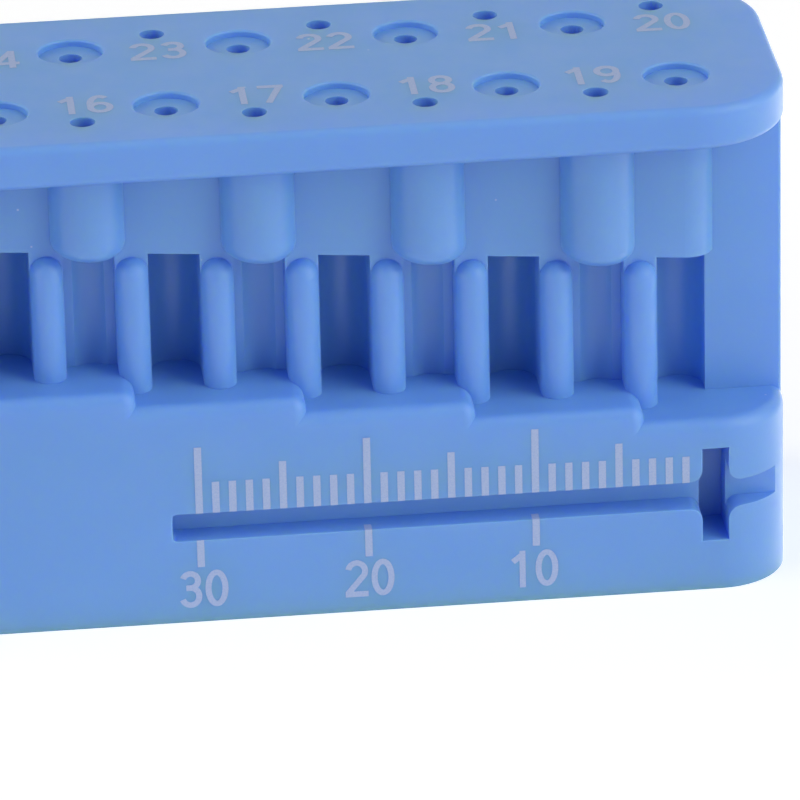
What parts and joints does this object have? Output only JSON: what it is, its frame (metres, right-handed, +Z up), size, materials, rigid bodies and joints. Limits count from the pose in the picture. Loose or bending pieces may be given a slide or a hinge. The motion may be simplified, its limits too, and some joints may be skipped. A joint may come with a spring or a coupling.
{
  "type": "endodontic measuring block",
  "caption": "Moulded plastic block whose holes stop root-canal files at stepped ledges to gauge their working length, with a ruler groove on the front.",
  "frame": {"origin": "middle of the flat underside that the block stands on", "axes": "+X along the block to its right end, as seen from the side with the ruler; +Y from the ruler side to the back; +Z up, from the underside to the plate with the holes"},
  "size_m": [0.0876, 0.0204, 0.031],
  "materials": {
    "blue_plastic": "satin moulded plastic",
    "printed_marks": "matt pad-printed ink"
  },
  "bodies": {
    "root": {"measuring_block": "blue_plastic"}
  },
  "joints": []
}
